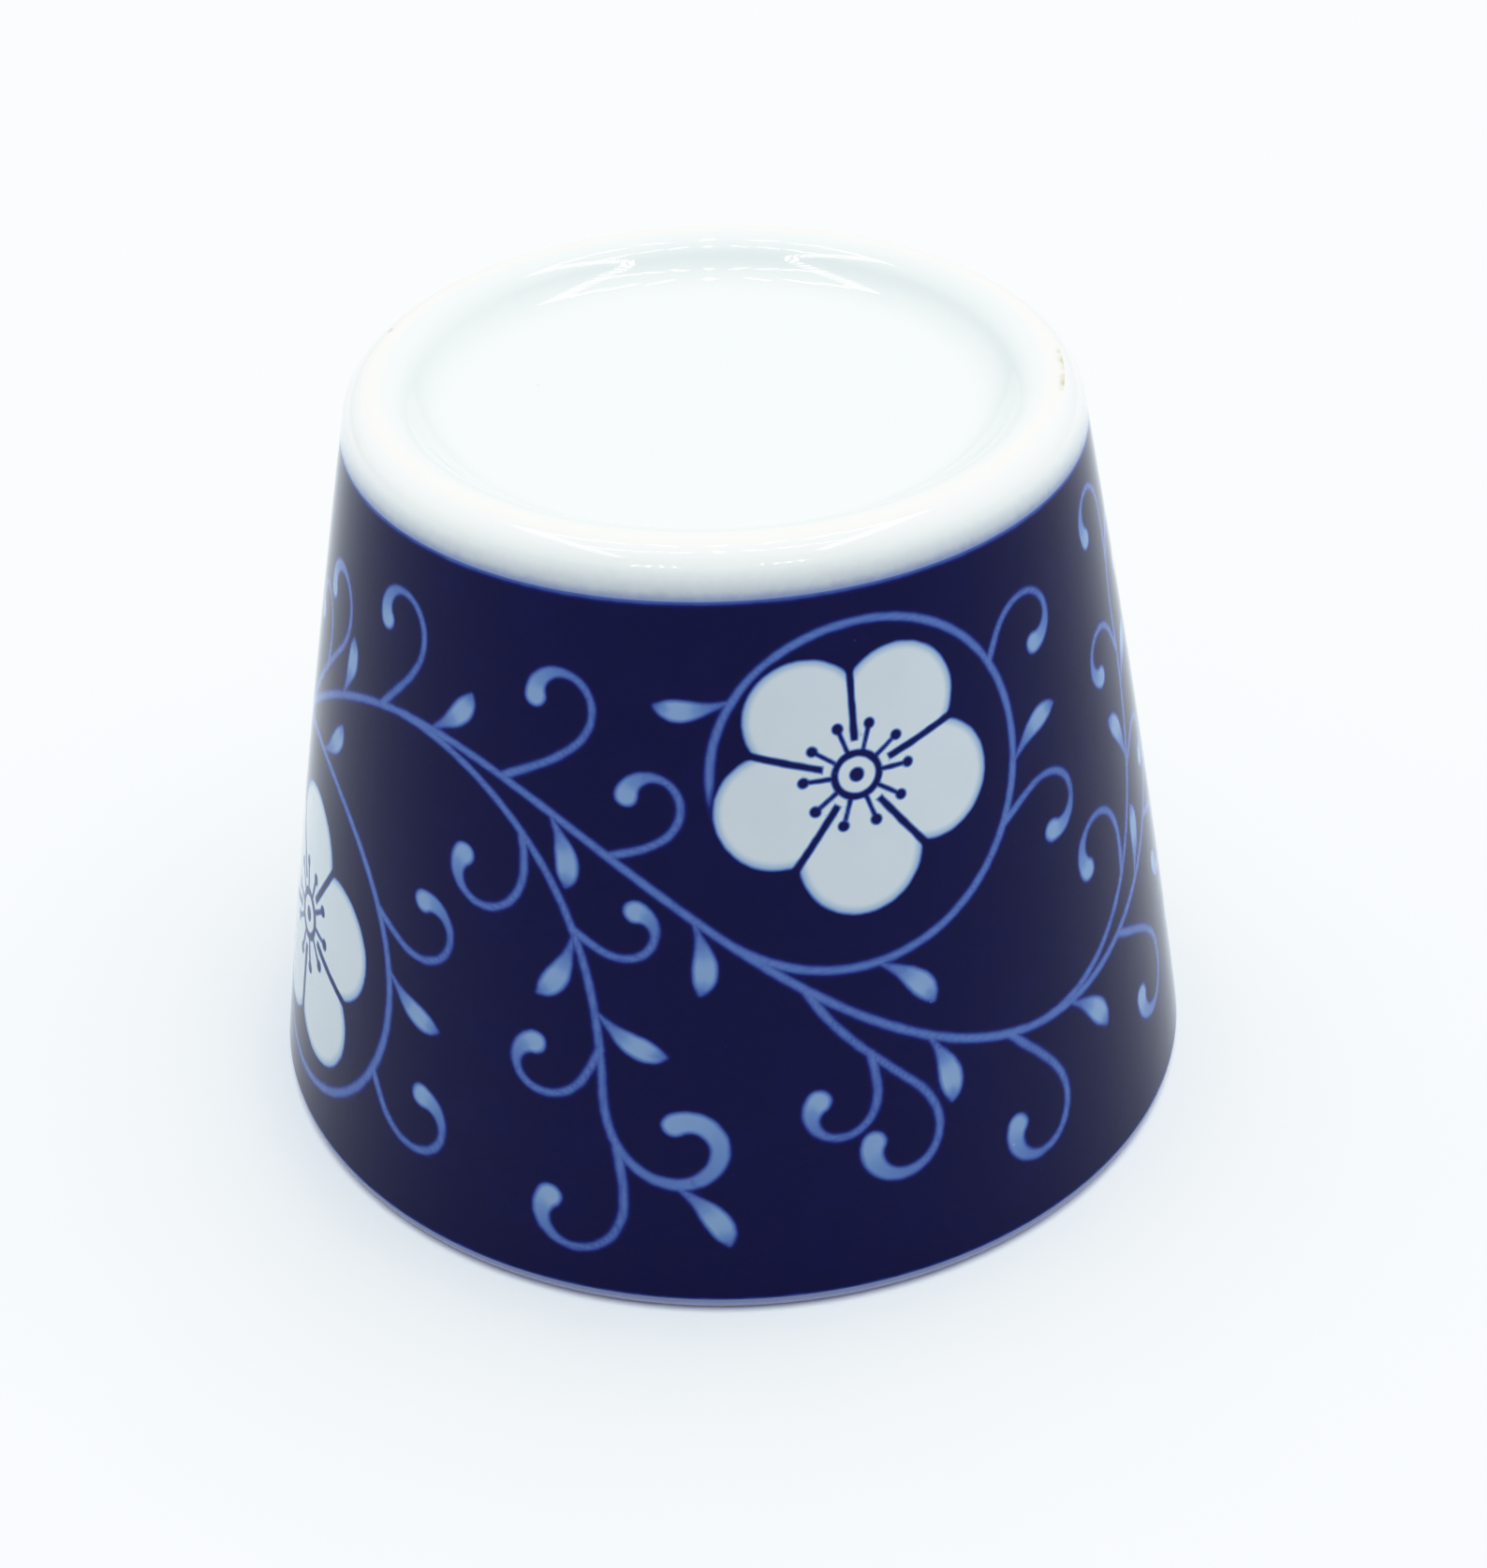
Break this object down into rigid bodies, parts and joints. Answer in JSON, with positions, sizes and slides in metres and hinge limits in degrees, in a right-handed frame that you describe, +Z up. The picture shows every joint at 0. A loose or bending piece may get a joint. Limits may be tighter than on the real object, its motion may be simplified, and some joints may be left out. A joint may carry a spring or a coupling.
{
  "type": "soba choko cup",
  "caption": "Small tapered porcelain cup with a foot ring, cobalt-blue decorated outside and white inside, standing mouth down on its rim; holds dipping sauce or tea.",
  "frame": {"origin": "centre of the rim plane, on the surface that the cup stands on mouth down", "axes": "+Z up along the cup's own axis, from the mouth to the foot ring; -Y towards the viewer of the picture, +X to the right"},
  "size_m": [0.0816, 0.0816, 0.0646],
  "materials": {
    "porcelain": "matte bare porcelain",
    "cobalt": "gloss glaze over cobalt",
    "white_glaze": "gloss clear glaze over white"
  },
  "bodies": {
    "root": {"porcelain_body": "porcelain", "cobalt_band": "cobalt", "shoulder_glaze": "white_glaze", "base_glaze": "white_glaze", "inner_glaze": "white_glaze"}
  },
  "joints": []
}
